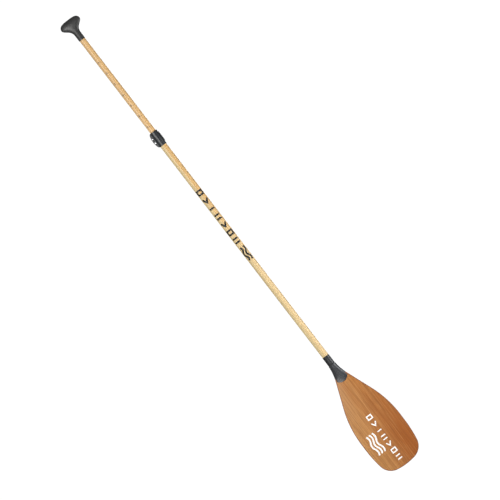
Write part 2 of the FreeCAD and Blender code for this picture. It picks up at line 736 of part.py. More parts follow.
def make_grip_screws():
    """Two shell screws from the back, and the small screw through the socket at the front."""
    back = Vector(0, 1, 0)
    shank = cylinder("shell_screw_shank", "smallScrew", "bossSeat + bossTip",
                     ("shellScrewReach", "0 - bossTip", "shellScrewHeight"), back)
    head = cylinder("shell_screw_head", "shellScrewCap", "shellScrewCapHeight",
                    ("shellScrewReach", "bossSeat", "shellScrewHeight"), back)
    slot = doc.addObject("Part::Box", "shell_screw_slot")
    slot.setExpression("Length", bind("shellScrewCap * 2 + cutMargin * 2"))
    slot.setExpression("Width", bind("slotDepth + cutMargin"))
    slot.setExpression("Height", bind("slotWidth"))
    put(slot, ("shellScrewReach - shellScrewCap - cutMargin",
               "bossSeat + shellScrewCapHeight - slotDepth",
               "shellScrewHeight - slotWidth / 2"), Vector(0, 0, 1))
    screw = without("shell_screw", joined("shell_screw_blank", [shank, head]), slot)
    shell_screws = mirrored_pair("grip_shell_screws", screw, Vector(1, 0, 0), Vector(0, 0, 0))

    front = Vector(0, -1, 0)
    body = cylinder("grip_screw_shank", "smallScrew", "gripScrewSeat - gripScrewTip",
                    ("0", "0 - gripScrewTip", "gripScrewHeight"), front)
    cap = cylinder("grip_screw_cap", "gripScrewCap", "gripScrewCapHeight",
                   ("0", "0 - gripScrewSeat", "gripScrewHeight"), front)
    grip_screw = joined("grip_screw", [body, cap])
    grip_screw.Label = "grip_screw"
    return [shell_screws, grip_screw]


# ---- blade and neck -----------------------------------------------------------------------


def blade_line(height):
    """How far the middle of the blade stands off the shaft's axis at a height: the line bends
    forward inside the neck, rakes most below it and eases towards the tip."""
    steep = math.tan(math.radians(size("neckRake")))
    shallow = math.tan(math.radians(size("tipRake")))
    bend = size("bendTop - bendBottom")
    above = size("bendTop") - height
    if above <= 0:
        return 0
    if above <= bend:
        return -steep * above ** 2 / (2 * bend)
    below = above - bend
    run = size("bendBottom - bladeTip")
    return -steep * bend / 2 - steep * below + (steep - shallow) * below ** 2 / (2 * run)


# Height, half width and thickness at the middle of the blade's lens-shaped sections.
BLADE_STATIONS = [
    (-412, 24, 17),
    (-440, 33, 15),
    (-470, 46, 12.5),
    (-540, 70, 9.5),
    (-640, 97, 7.2),
    (-740, 99, 5.8),
    (-866, 100, 4.6),
]


def face_arc(station, side, depth):
    """Crowned arc across one face of the blade, depth below its surface; side is -1 in front."""
    height, half_width, thickness = station
    line = blade_line(height)
    middle = line + side * (thickness / 2 - depth)
    edge = line + side * (size("bladeEdge") / 2 - depth)
    ends = [Vector(-half_width, edge, height), Vector(half_width, edge, height)]
    return Part.Arc(ends[0], Vector(0, middle, height), ends[1]).toShape(), ends


def blade_layer(front, back):
    """Loft between two surfaces, each (side, depth), wider than the blade's outline."""
    wires = []
    for station in BLADE_STATIONS:
        front_arc, front_ends = face_arc(station, *front)
        back_arc, back_ends = face_arc(station, *back)
        closings = [Part.LineSegment(start, end).toShape()
                    for start, end in zip(front_ends, back_ends)]
        wires.append(Part.Wire([front_arc, closings[1], back_arc, closings[0]]))
    return Part.makeLoft(wires, True, False)


def blade_prism(inset):
    """Block with the blade's front outline, drawn in by inset. Its right half is walked from the
    tip's middle to the neck as arcs (radius, turn) and straight runs."""
    steps = [
        (size("tipRadius"), size("tipTurn")),
        (size("cornerRadius"), 90 - size("sideTurn") - size("tipTurn")),
        (size("sideRadius"), size("sideTurn")),
        (None, size("sideRun")),
        (size("shoulderRadius"), size("shoulderTurn")),
        (None, size("shoulderRun")),
    ]
    place = Vector(0, 0, size("bladeTip") + inset)
    heading = 0.0
    edges = []
    for radius, amount in steps:
        if radius is None:
            ahead = Vector(math.cos(heading), 0, math.sin(heading))
            after = place + ahead * amount
            edges.append(Part.LineSegment(place, after).toShape())
        else:
            reach = radius - inset
            turn = math.radians(amount)
            centre = place + Vector(-math.sin(heading), 0, math.cos(heading)) * reach
            half = heading + turn / 2
            middle = centre + Vector(math.sin(half), 0, -math.cos(half)) * reach
            heading += turn
            after = centre + Vector(math.sin(heading), 0, -math.cos(heading)) * reach
            edges.append(Part.Arc(place, middle, after).toShape())
        place = after
    tang = size("tangHalf") - inset
    top = size("tangTop") - inset
    for corner in (Vector(tang, 0, place.z), Vector(tang, 0, top), Vector(0, 0, top)):
        edges.append(Part.LineSegment(place, corner).toShape())
        place = corner
    across = [edge.mirror(Vector(0, 0, 0), Vector(1, 0, 0)) for edge in edges]
    face = Part.Face(Part.Wire(Part.__sortEdges__(edges + across)))
    face.translate(Vector(0, -OUTSIDE, 0))
    return face.extrude(Vector(0, OUTSIDE * 2, 0))


def make_blade():
    """Core between two veneers, framed by the edge guard, with a tang inside the neck."""
    veneer = size("bladeVeneer")
    whole_prism = blade_prism(0)
    inner_prism = blade_prism(size("edgeWidth"))
    whole = blade_layer((-1, 0), (1, 0)).common(whole_prism)
    whole = whole.makeFillet(size("rimRound"), [edge for edge in whole.Edges if on_rim(edge)])
    core_depth = veneer + size("glueLine")
    core = blade_layer((-1, core_depth), (1, core_depth)).common(inner_prism)
    front = blade_layer((-1, 0), (-1, veneer)).common(inner_prism)
    back = blade_layer((1, veneer), (1, 0)).common(inner_prism)
    parts = [
        free_form("blade_core", core),
        free_form("blade_front_veneer", front),
        free_form("blade_back_veneer", back),
        free_form("blade_edge_guard", whole.cut(inner_prism)),
    ]
    return parts, whole


def on_rim(edge):
    """True for the edges that follow the blade's outline below the neck, on either face."""
    start = edge.Vertexes[0].Point
    end = edge.Vertexes[-1].Point
    across = abs(start.x - end.x) < TOUCH and abs(start.z - end.z) < TOUCH
    return edge.BoundBox.ZMin < size("tongueCentre - tongueRadius / 2") and not across


def make_neck(blade):
    """Flared neck with a tongue on each face of the blade, its spigot and the shaft's sleeve."""
    seam = size("seam")
    wires = []
    for share in (0, 0.2, 0.4, 0.6, 0.8, 1):
        below = share * size("neckLength")
        half_width = size("neckRadius") + size("neckFlare") * below ** size("neckPower")
        half_depth = size("neckRadius") - size("neckThinning") * (1 - math.cos(math.pi * share)) / 2
        middle = Vector(0, blade_line(seam - below), seam - below)
        wires.append(Part.Wire([Part.Ellipse(middle, half_width, half_depth).toShape()]))
    flare = Part.makeLoft(wires, True, False)
    centre = size("tongueCentre")
    round_end = Part.makeCylinder(size("tongueRadius"), OUTSIDE * 2, Vector(0, -OUTSIDE, centre),
                                  Vector(0, 1, 0))
    above = Part.makeBox(OUTSIDE * 2, OUTSIDE * 2, OUTSIDE * 2, Vector(-OUTSIDE, -OUTSIDE, centre))
    neck = flare.common(round_end.fuse(above))
    spigot_way = upright_rod(size("lowerBore"), size("neckSpigotBottom"), size("seam + cutMargin"))
    neck = neck.cut([blade, spigot_way])
    parts = [free_form("blade_neck", neck)]
    parts.append(rod("neck_spigot", "lowerBore - glueGap", "neckSpigotBottom", "neckSpigotTop"))
    parts.append(turned("neck_sleeve", [
        ("lowerRadius - veneer", "seam"),
        ("sleeveRadius - seamGroove", "seam"),
        ("sleeveRadius", "seam + seamGroove * 2"),
        ("sleeveRadius", "neckTop - bevel"),
        ("sleeveRadius - bevel", "neckTop"),
        ("lowerRadius - veneer", "neckTop"),
    ]))
    return parts


def build():
    """Make every sub-part, test it and write its file."""
    fill_sheet()
    parts = make_shafts() + make_tail()
    parts += [make_clamp_body(), make_clamp_liner(), make_clamp_lever(), make_lever_axle()]
    parts += [make_cam_plate()] + make_clamp_screws()
    parts += make_grip() + make_grip_screws()
    blade_parts, blade = make_blade()
    parts += blade_parts + make_neck(blade)
    doc.recompute()
    for item in doc.Objects:
        if {"Invalid", "Error"} & set(item.State):
            raise RuntimeError(f"{item.Name} failed: {item.State}")
    for part in parts:
        if part.Shape.isNull() or not part.Shape.isValid() or not part.Shape.Solids:
            raise RuntimeError(f"{part.Label} has no valid solid")
    os.makedirs("parts", exist_ok=True)
    for part in parts:
        part.Shape.exportStep(f"parts/{part.Label}.step")
        box = part.Shape.optimalBoundingBox(False, False)
        print(f"{part.Label:22s} solids {len(part.Shape.Solids)} volume {part.Shape.Volume:10.1f}"
              f" z {box.ZMin:8.2f} {box.ZMax:8.2f} x {box.XMin:7.2f} {box.XMax:7.2f}"
              f" y {box.YMin:7.2f} {box.YMax:7.2f}")


build()
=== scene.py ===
import math

import bpy
from mathutils import Matrix, Vector
from mathutils.bvhtree import BVHTree


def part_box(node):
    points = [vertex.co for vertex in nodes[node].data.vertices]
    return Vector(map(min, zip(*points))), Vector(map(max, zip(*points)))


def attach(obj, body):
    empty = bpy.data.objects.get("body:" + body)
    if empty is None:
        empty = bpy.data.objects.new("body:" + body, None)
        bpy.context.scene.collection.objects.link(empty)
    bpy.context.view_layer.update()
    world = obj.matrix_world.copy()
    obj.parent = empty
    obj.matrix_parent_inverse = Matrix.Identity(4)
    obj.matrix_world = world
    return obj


# Looks of an adjustable stand-up paddle. Everything is in metres, in the frame of the CAD model:
# +Z runs up the shaft to the palm grip, and the blade's decorated face looks towards -Y.

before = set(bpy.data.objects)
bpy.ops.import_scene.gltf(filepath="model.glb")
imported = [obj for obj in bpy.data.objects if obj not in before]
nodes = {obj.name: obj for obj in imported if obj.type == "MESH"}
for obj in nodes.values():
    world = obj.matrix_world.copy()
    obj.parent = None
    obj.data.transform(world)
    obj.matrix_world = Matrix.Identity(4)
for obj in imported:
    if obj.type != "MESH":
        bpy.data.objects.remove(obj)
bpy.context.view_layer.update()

MM = 0.001
LOWER_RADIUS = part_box("lower_shaft_veneer")[1].x
UPPER_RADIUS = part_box("upper_shaft_veneer")[1].x
CLAMP_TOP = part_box("clamp_body")[1].z
NECK_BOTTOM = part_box("blade_neck")[0].z
BLADE_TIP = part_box("blade_edge_guard")[0].z


# ---- materials ----------------------------------------------------------------------------


def tone(red, green, blue):
    """Linear colour of an 8-bit screen colour."""
    return tuple(((part / 255 + 0.055) / 1.055) ** 2.4 for part in (red, green, blue)) + (1,)


class Surface:
    """A material on the principled shader, with the nodes that give it its pattern."""

    def __init__(self, name, **numbers):
        self.material = bpy.data.materials.new(name)
        self.material.use_nodes = True
        self.tree = self.material.node_tree
        self.shader = self.tree.nodes["Principled BSDF"]
        self.place = self.add("ShaderNodeTexCoord").outputs["Object"]
        for socket, number in numbers.items():
            self.shader.inputs[socket.replace("_", " ")].default_value = number

    def add(self, kind, **settings):
        """New node with its settings."""
        node = self.tree.nodes.new(kind)
        for setting, value in settings.items():
            setattr(node, setting, value)
        return node

    def feed(self, socket, value):
        """Link an output to a socket, or write a plain value there."""
        if isinstance(value, bpy.types.NodeSocket):
            self.tree.links.new(value, socket)
        else:
            socket.default_value = value

    def stretched(self, across, along, deep=None):
        """Place scaled across the shaft, along it and, where that differs, from front to back, in
        patterns per metre."""
        mapping = self.add("ShaderNodeMapping")
        self.feed(mapping.inputs["Vector"], self.place)
        mapping.inputs["Scale"].default_value = (across, across if deep is None else deep, along)
        return mapping.outputs["Vector"]

    def noise(self, across, along, deep=None, detail=4, roughness=0.5, distortion=0.0, shift=0.0):
        """Cloudy pattern between 0 and 1, stretched along the shaft."""
        texture = self.add("ShaderNodeTexNoise", noise_dimensions="4D")
        self.feed(texture.inputs["Vector"], self.stretched(across, along, deep))
        texture.inputs["W"].default_value = shift
        texture.inputs["Scale"].default_value = 1.0
        texture.inputs["Detail"].default_value = detail
        texture.inputs["Roughness"].default_value = roughness
        texture.inputs["Distortion"].default_value = distortion
        return texture.outputs["Fac"]

    def cells(self, size):
        """Fine pebbled grain, size in metres."""
        texture = self.add("ShaderNodeTexVoronoi", feature="SMOOTH_F1")
        self.feed(texture.inputs["Vector"], self.stretched(1 / size, 1 / size))
        texture.inputs["Scale"].default_value = 1.0
        return texture.outputs["Distance"]

    def axis(self, letter):
        """One of the place's own coordinates, in metres."""
        split = self.add("ShaderNodeSeparateXYZ")
        self.feed(split.inputs[0], self.place)
        return split.outputs[letter]

    def maths(self, operation, first, second=0.0, third=0.0):
        """Arithmetic on outputs or numbers."""
        node = self.add("ShaderNodeMath", operation=operation)
        for socket, value in zip(node.inputs, (first, second, third)):
            self.feed(socket, value)
        return node.outputs[0]

    def fold(self, value):
        """Distance from the nearest half: 0 in the middle of each unit and 0.5 at its ends."""
        part = self.maths("SUBTRACT", self.maths("FRACT", value), 0.5)
        return self.maths("ABSOLUTE", part)

    def step(self, value, start, end, low=0.0, high=1.0):
        """Smooth step from low to high as value goes from start to end."""
        node = self.add("ShaderNodeMapRange", interpolation_type="SMOOTHSTEP")
        self.feed(node.inputs["Value"], value)
        node.inputs["From Min"].default_value = start
        node.inputs["From Max"].default_value = end
        node.inputs["To Min"].default_value = low
        node.inputs["To Max"].default_value = high
        return node.outputs["Result"]

    def ramp(self, value, *stops):
        """Colour ramp through (position, colour) stops."""
        node = self.add("ShaderNodeValToRGB")
        elements = node.color_ramp.elements
        while len(elements) < len(stops):
            elements.new(0.5)
        for element, (position, colour) in zip(elements, stops):
            element.position = position
            element.color = colour
        self.feed(node.inputs["Fac"], value)
        return node.outputs["Color"]

    def mix(self, share, first, second):
        """Mix of two colours, the share being the second one's."""
        node = self.add("ShaderNodeMixRGB")
        self.feed(node.inputs["Fac"], share)
        self.feed(node.inputs["Color1"], first)
        self.feed(node.inputs["Color2"], second)
        return node.outputs["Color"]

    def finish(self, colour, roughness, heights):
        """Connect colour, roughness and bumps, each bump (height, depth in metres)."""
        self.feed(self.shader.inputs["Base Color"], colour)
        self.feed(self.shader.inputs["Roughness"], roughness)
        normal = None
        for height, depth in heights:
            bump = self.add("ShaderNodeBump")
            bump.inputs["Distance"].default_value = depth
            self.feed(bump.inputs["Height"], height)
            if normal is not None:
                self.feed(bump.inputs["Normal"], normal)
            normal = bump.outputs["Normal"]
        self.feed(self.shader.inputs["Normal"], normal)
        return self.material


STRIPS = 11  # strips of bamboo round a shaft
CANE_JOINT = 0.31  # from one joint of the cane to the next
JOINT_SPREAD = 11  # most that one strip's joints are shifted against another's, in joints
# The flush colour is partly the veneer's own orange two-tone and partly painted shade: it darkens
# the +X side, more strongly towards the top.
FLUSH_AND_SHADE_SIDE = (-0.007, 0.004)  # x over which the flush colour sets in
FLUSH_AND_SHADE_HEIGHTS = (0.05, 0.45)  # z over which it grows stronger
FLUSH_AND_SHADE_SHARES = (0.35, 0.8)  # its share of the colour below and above those heights


def bamboo(name, pale, tan, shadow, flush_and_shade):
    """Varnished bamboo veneer round a shaft: narrow strips with long fibres, fine threads and, on
    each strip, a darker ring at every joint of the cane. On the +X side the strips turn darker and
    more orange towards the top: partly the veneer's own two-tone, partly painted shade on the side
    away from the key light."""
    surface = Surface(name, Coat_Weight=0.2, Coat_Roughness=0.3, Specular_IOR_Level=0.3)
    turn = surface.maths("ARCTAN2", surface.axis("X"), surface.axis("Y"))
    strip = surface.maths("MULTIPLY", turn, STRIPS / (2 * math.pi))
    chance = surface.add("ShaderNodeTexWhiteNoise", noise_dimensions="1D")
    surface.feed(chance.inputs["W"], surface.maths("FLOOR", strip))
    chance = chance.outputs["Value"]
    colour = surface.mix(chance, pale, tan)

    # Painted shade, partly the veneer's own two-tone: the +X side darkens towards the top.
    side = surface.step(surface.axis("X"), *FLUSH_AND_SHADE_SIDE)
    height = surface.step(surface.axis("Z"), *FLUSH_AND_SHADE_HEIGHTS, *FLUSH_AND_SHADE_SHARES)
    colour = surface.mix(surface.maths("MULTIPLY", side, height), colour, flush_and_shade)

    clouds = surface.noise(110, 1.4, detail=2, shift=2.0)
    colour = surface.mix(surface.step(clouds, 0.35, 0.7, 0.0, 0.3), colour, shadow)
    fibres = surface.noise(420, 2.5, detail=3, roughness=0.55)
    colour = surface.mix(surface.step(fibres, 0.3, 0.6, 0.25, 0.0), colour, shadow)
    threads = surface.noise(2200, 14, detail=2, roughness=0.6, shift=6.0)
    colour = surface.mix(surface.step(threads, 0.35, 0.55, 0.32, 0.0), colour, shadow)

    seam = surface.fold(strip)
    colour = surface.mix(surface.step(seam, 0.465, 0.5, 0.0, 0.45), colour, shadow)
    start = surface.maths("MULTIPLY", chance, JOINT_SPREAD)
    joint = surface.fold(surface.maths("MULTIPLY_ADD", surface.axis("Z"), 1 / CANE_JOINT, start))
    ring = surface.step(joint, 0.487, 0.498, 0.0, 0.28)
    colour = surface.mix(ring, colour, shadow)
    roughness = surface.step(fibres, 0.3, 0.7, 0.48, 0.4)
    return surface.finish(colour, roughness, [(threads, 0.01 * MM), (ring, 0.04 * MM)])


def blade_wood():
    """Satin reddish-brown veneer: long grain and shorter flecks over broad bands, with dark pores.
    Towards the tip and on the +X side it turns darker and redder as painted shade, which leaves
    the upper -X side near the neck paler as a painted sheen."""
    surface = Surface("blade_veneer", Coat_Weight=0.16, Coat_Roughness=0.3,
                      Specular_IOR_Level=0.15)
    bands = surface.noise(40, 0.8, deep=2, detail=3, roughness=0.55, distortion=0.1)
    grain = surface.noise(190, 1.3, deep=2, detail=5, roughness=0.65, shift=3.0)
    flecks = surface.noise(330, 11, deep=8, detail=3, roughness=0.6, shift=9.0)
    pores = surface.noise(1400, 30, deep=20, detail=2, roughness=0.6, shift=7.0)
    colour = surface.ramp(bands, (0.3, tone(170, 112, 56)), (0.5, tone(180, 126, 69)),
                          (0.7, tone(188, 139, 84)))
    # Painted shade towards the tip and on the +X side; the paler upper -X side it leaves is a
    # painted sheen.
    depth = surface.step(surface.axis("Z"), BLADE_TIP + 50 * MM, NECK_BOTTOM, 1.0, 0.45)
    side = surface.step(surface.axis("X"), -70 * MM, 60 * MM)
    colour = surface.mix(surface.maths("MULTIPLY", depth, side), colour, tone(154, 83, 22))
    colour = surface.mix(surface.step(grain, 0.3, 0.55, 0.6, 0.0), colour, tone(124, 72, 24))
    colour = surface.mix(surface.step(grain, 0.55, 0.75, 0.0, 0.3), colour, tone(204, 150, 84))
    colour = surface.mix(surface.step(flecks, 0.36, 0.5, 0.34, 0.0), colour, tone(118, 66, 24))
    colour = surface.mix(surface.step(flecks, 0.52, 0.66, 0.0, 0.3), colour, tone(206, 150, 88))
    colour = surface.mix(surface.step(pores, 0.28, 0.42, 0.22, 0.0), colour, tone(104, 54, 22))
    roughness = surface.step(grain, 0.3, 0.7, 0.6, 0.5)
    return surface.finish(colour, roughness, [(grain, 0.02 * MM), (pores, 0.02 * MM)])


def moulded(name, dark, light, grain, rough, depth):
    """Moulded plastic: pebbled grain, faint scuffs and slightly uneven gloss. The grain's size and
    depth are in metres."""
    surface = Surface(name, Specular_IOR_Level=0.4)
    pebbles = surface.cells(grain)
    clouds = surface.noise(45, 30, detail=3)
    scuffs = surface.noise(220, 900, detail=4, roughness=0.7, shift=5.0)
    colour = surface.ramp(clouds, (0.3, dark), (0.75, light))
    worn = surface.ramp(scuffs, (0.6, (0, 0, 0, 1)), (0.78, (1, 1, 1, 1)))
    colour = surface.mix(surface.maths("MULTIPLY", worn, 0.06), colour, tone(150, 150, 148))
    roughness = surface.step(clouds, 0.3, 0.7, rough - 0.05, rough + 0.06)
    return surface.finish(colour, roughness, [(pebbles, depth)])


def steel(name, colour, bright, rough):
    """Steel with fine turning marks and a few duller spots."""
    surface = Surface(name, Metallic=1.0)
    marks = surface.noise(300, 9000, detail=2)
    spots = surface.noise(700, 700, detail=3, shift=4.0)
    shade = surface.ramp(spots, (0.35, colour), (0.7, bright))
    roughness = surface.step(spots, 0.3, 0.7, rough, rough + 0.18)
    return surface.finish(shade, roughness, [(marks, 0.03 * MM)])


ROVING_WAVES = 2600  # waves of the weave along a diagonal, in radians per metre


def woven(name, dark, light):
    """Resin laminate, in which crossed rovings show."""
    surface = Surface(name, Coat_Weight=0.3, Coat_Roughness=0.2)
    height = surface.axis("Z")
    across = surface.maths("ADD", surface.axis("X"), surface.axis("Y"))
    rovings = []
    for operation in ("ADD", "SUBTRACT"):
        diagonal = surface.maths(operation, height, across)
        rovings.append(surface.maths("SINE", surface.maths("MULTIPLY", diagonal, ROVING_WAVES)))
    weave = surface.step(surface.maths("MULTIPLY", *rovings), -0.6, 0.6)
    clouds = surface.noise(60, 40, detail=3)
    shade = surface.maths("MULTIPLY_ADD", clouds, 0.4, surface.maths("MULTIPLY", weave, 0.6))
    colour = surface.ramp(shade, (0.2, dark), (0.8, light))
    roughness = surface.step(shade, 0.2, 0.8, 0.5, 0.4)
    return surface.finish(colour, roughness, [(weave, 0.08 * MM)])


BUBBLE = 1.1 * MM


def foamed(name, pale, deep):
    """Closed-cell foam."""
    surface = Surface(name)
    bubbles = surface.cells(BUBBLE)
    colour = surface.ramp(bubbles, (0.1, deep), (0.5, pale))
    roughness = surface.step(bubbles, 0.1, 0.6, 0.95, 0.8)
    return surface.finish(colour, roughness, [(bubbles, 0.4 * MM)])


def ink(name, colour, worn):
    """Printed ink with slightly broken cover."""
    surface = Surface(name, Coat_Weight=0.1, Coat_Roughness=0.3, Specular_IOR_Level=0.3)
    specks = surface.noise(1400, 900, detail=4, roughness=0.7)
    shade = surface.ramp(specks, (0.26, worn), (0.38, colour))
    roughness = surface.step(specks, 0.3, 0.6, 0.5, 0.35)
    return surface.finish(shade, roughness, [(specks, 0.02 * MM)])


def make_looks():
    """Each material with the CAD nodes that it covers."""
    return [
        # Each shaft's flush colour is partly painted shade on its +X side.
        (bamboo("upper_bamboo", pale=tone(236, 205, 158), tan=tone(212, 176, 122),
                shadow=tone(184, 140, 86), flush_and_shade=tone(212, 170, 110)),
         ["upper_shaft_veneer"]),
        (bamboo("lower_bamboo", pale=tone(228, 210, 165), tan=tone(208, 185, 134),
                shadow=tone(182, 148, 94), flush_and_shade=tone(208, 160, 92)),
         ["lower_shaft_veneer"]),
        (blade_wood(), ["blade_front_veneer", "blade_back_veneer"]),
        (moulded("edge_plastic", dark=tone(122, 64, 26), light=tone(138, 76, 34),
                 grain=0.9 * MM, rough=0.6, depth=0.02 * MM),
         ["blade_edge_guard"]),
        (moulded("grip_plastic", dark=tone(44, 44, 44), light=tone(53, 53, 52),
                 grain=1.1 * MM, rough=0.4, depth=0.03 * MM),
         ["grip_front_shell", "grip_back_shell"]),
        (moulded("clamp_plastic", dark=tone(33, 36, 38), light=tone(42, 45, 48),
                 grain=0.8 * MM, rough=0.3, depth=0.01 * MM),
         ["clamp_body", "clamp_lever", "clamp_liner"]),
        (moulded("neck_plastic", dark=tone(47, 48, 51), light=tone(57, 59, 63),
                 grain=0.7 * MM, rough=0.33, depth=0.01 * MM),
         ["blade_neck"]),
        (moulded("sleeve_plastic", dark=tone(31, 32, 34), light=tone(38, 40, 43),
                 grain=0.6 * MM, rough=0.33, depth=0.01 * MM),
         ["neck_sleeve"]),
        (moulded("bearing_plastic", dark=tone(216, 214, 204), light=tone(230, 228, 220),
                 grain=0.6 * MM, rough=0.5, depth=0.02 * MM),
         ["glide_ring"]),
        (moulded("plug_plastic", dark=tone(44, 45, 46), light=tone(58, 59, 60),
                 grain=1.0 * MM, rough=0.5, depth=0.02 * MM),
         ["tail_plug", "grip_spigot", "neck_spigot"]),
        (woven("laminate", dark=tone(58, 50, 38), light=tone(112, 98, 70)),
         ["lower_shaft_core", "upper_shaft_core"]),
        (foamed("core_foam", pale=tone(226, 214, 186), deep=tone(196, 182, 150)),
         ["blade_core"]),
        (foamed("plug_foam", pale=tone(226, 226, 220), deep=tone(196, 196, 188)),
         ["shaft_foam_plug"]),
        (steel("zinc_steel", tone(196, 199, 204), bright=tone(228, 230, 233), rough=0.3),
         ["lever_axle", "screw_washers", "cam_plate"]),
        (steel("bright_steel", tone(240, 241, 243), bright=tone(250, 250, 251), rough=0.35),
         ["clamp_screws"]),
        (steel("dark_steel", tone(52, 52, 54), bright=tone(74, 74, 76), rough=0.4),
         ["grip_screw", "grip_shell_screws"]),
    ]


def paint_nodes():
    """Give every CAD node its material."""
    for material, names in make_looks():
        for name in names:
            mesh = nodes[name].data
            mesh.materials.clear()
            mesh.materials.append(material)


# ---- prints -------------------------------------------------------------------------------

PRINT_LIFT = 0.12 * MM  # top of the ink over the surface
PRINT_SINK = 0.08 * MM  # its underside, hidden below the surface
RIBBON_CELLS = 6
RIBBON_STEP = 1.0 * MM
MITRE_LIMIT = 0.3  # least cosine of a mitre, so that a sharp corner doesn't grow a spike
NO_LENGTH = 1e-9


def ribbon(path, width, closed=False):
    """Flat ribbon of even width along a path in the print's plane: mitred rows of points at the
    path's corners, and rows between them no further apart than the ribbon's step."""
    points = [Vector(point) for point in path]
    corners = []
    for index, point in enumerate(points):
        before = points[index - 1] if index or closed else point
        after = points[(index + 1) % len(points)] if closed or index + 1 < len(points) else point
        ways = [way.normalized() for way in (point - before, after - point)
                if way.length > NO_LENGTH]
        normals = [Vector((-way.y, way.x)) for way in ways]
        mitre = sum(normals, Vector((0, 0))).normalized()
        reach = width / 2 / max(MITRE_LIMIT, mitre.dot(normals[0]))
        corners.append([point + mitre * reach * (2 * cell / RIBBON_CELLS - 1)
                        for cell in range(RIBBON_CELLS + 1)])
    rows = []
    for one, other in zip(corners, corners[1:] + corners[:1] if closed else corners[1:]):
        longest = max((end - start).length for start, end in zip(one, other))
        count = math.ceil(longest / RIBBON_STEP)
        for index in range(count):
            rows.append([start.lerp(end, index / count) for start, end in zip(one, other)])
    if not closed:
        rows.append(corners[-1])
    return rows, closed


def film(name, ribbons, onto, material, body):
    """Thin closed film of ink laid onto a surface: onto(u, v, lift) gives the place."""
    vertices = []
    faces = []
    for rows, closed in ribbons:
        count = len(rows)
        across = len(rows[0])
        for lift in (PRINT_LIFT, -PRINT_SINK):
            for row in rows:
                vertices += [onto(point.x, point.y, lift) for point in row]
        top = len(vertices) - 2 * count * across
        low = top + count * across

        def at(start, row, cell):
            return start + (row % count) * across + cell

        for row in range(count if closed else count - 1):
            for cell in range(across - 1):
                quad = [(row, cell), (row, cell + 1), (row + 1, cell + 1), (row + 1, cell)]
                faces.append([at(top, *corner) for corner in quad])
                faces.append([at(low, *corner) for corner in reversed(quad)])
            for cell, (one, two) in ((0, (top, low)), (across - 1, (low, top))):
                faces.append([at(one, row, cell), at(one, row + 1, cell),
                              at(two, row + 1, cell), at(two, row, cell)])
        if not closed:
            for row, (one, two) in ((0, (low, top)), (count - 1, (top, low))):
                for cell in range(across - 1):
                    faces.append([at(one, row, cell), at(one, row, cell + 1),
                                  at(two, row, cell + 1), at(two, row, cell)])
    piece(name, vertices, faces, material, body)


def piece(name, vertices, faces, material, body):
    """Mesh object that rides on a CAD body."""
    mesh = bpy.data.meshes.new(name)
    mesh.from_pydata(vertices, [], faces)
    mesh.materials.append(material)
    mesh.validate()
    mesh.update()
    made = bpy.data.objects.new(name, mesh)
    bpy.context.scene.collection.objects.link(made)
    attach(made, body)


def on_round(radius):
    """Wraps a flat print round a shaft: u runs across the front, v up the shaft."""
    def place(u, v, lift):
        turn = u / radius
        return Vector(((radius + lift) * math.sin(turn), -(radius + lift) * math.cos(turn), v))
    return place


def on_blade():
    """Lays a flat print on the blade's front face."""
    veneer = nodes["blade_front_veneer"].data
    tree = BVHTree.FromPolygons([vertex.co for vertex in veneer.vertices],
                                [polygon.vertices for polygon in veneer.polygons])

    def place(u, v, lift):
        hit, normal, _, _ = tree.ray_cast(Vector((u, -1, v)), Vector((0, 1, 0)))
        return hit + normal * lift
    return place


# Each mark is a list of (path, closed), in a field of the given length down the paddle and width.


def chevron(middle, height, length, width):
    """V-shaped mark that points down the paddle."""
    return [([(middle - width / 2, height + length / 2), (middle, height - length / 2),
              (middle + width / 2, height + length / 2)], False)]


def bars(middle, height, length, width):
    """Two bars across the paddle."""
    return [([(middle - width / 2, height + end), (middle + width / 2, height + end)], False)
            for end in (-length / 2, length / 2)]


def bar(middle, height, length, width):
    """One bar across the paddle, at the middle of the field."""
    return [([(middle - width / 2, height), (middle + width / 2, height)], False)]


def hoop(middle, height, length, width):
    """Closed rectangle."""
    return [([(middle + across * width / 2, height + up * length / 2)
              for across, up in ((-1, -1), (1, -1), (1, 1), (-1, 1))], True)]


PRINT_MARKS = (hoop, chevron, bar, bars, chevron, hoop, bars)


def marks_row(top, bottom, middle, length, width, stroke):
    """Row of generic marks between two heights."""
    pitch = (top - bottom - length) / (len(PRINT_MARKS) - 1)
    ribbons = []
    for index, mark in enumerate(PRINT_MARKS):
        height = top - length / 2 - index * pitch
        for path, closed in mark(middle, height, length - stroke, width - stroke):
            ribbons.append(ribbon(path, stroke, closed))
    return ribbons


WAVE_STEPS = 48
WAVE_TURNS = 1.5
WAVE_SWING = 0.3  # how far a line swings to each side, as a share of the gap between two lines


def waves(top, bottom, middle, width, stroke, count):
    """Emblem of parallel wave lines between two heights."""
    gap = (width - stroke) / (count - 1 + 2 * WAVE_SWING)
    swing = gap * WAVE_SWING
    ribbons = []
    for line in range(count):
        centre = middle + (line - (count - 1) / 2) * gap
        path = []
        for index in range(WAVE_STEPS + 1):
            share = index / WAVE_STEPS
            sway = swing * math.sin(2 * math.pi * WAVE_TURNS * share)
            path.append((centre + sway, top + (bottom - top) * share))
        ribbons.append(ribbon(path, stroke))
    return ribbons


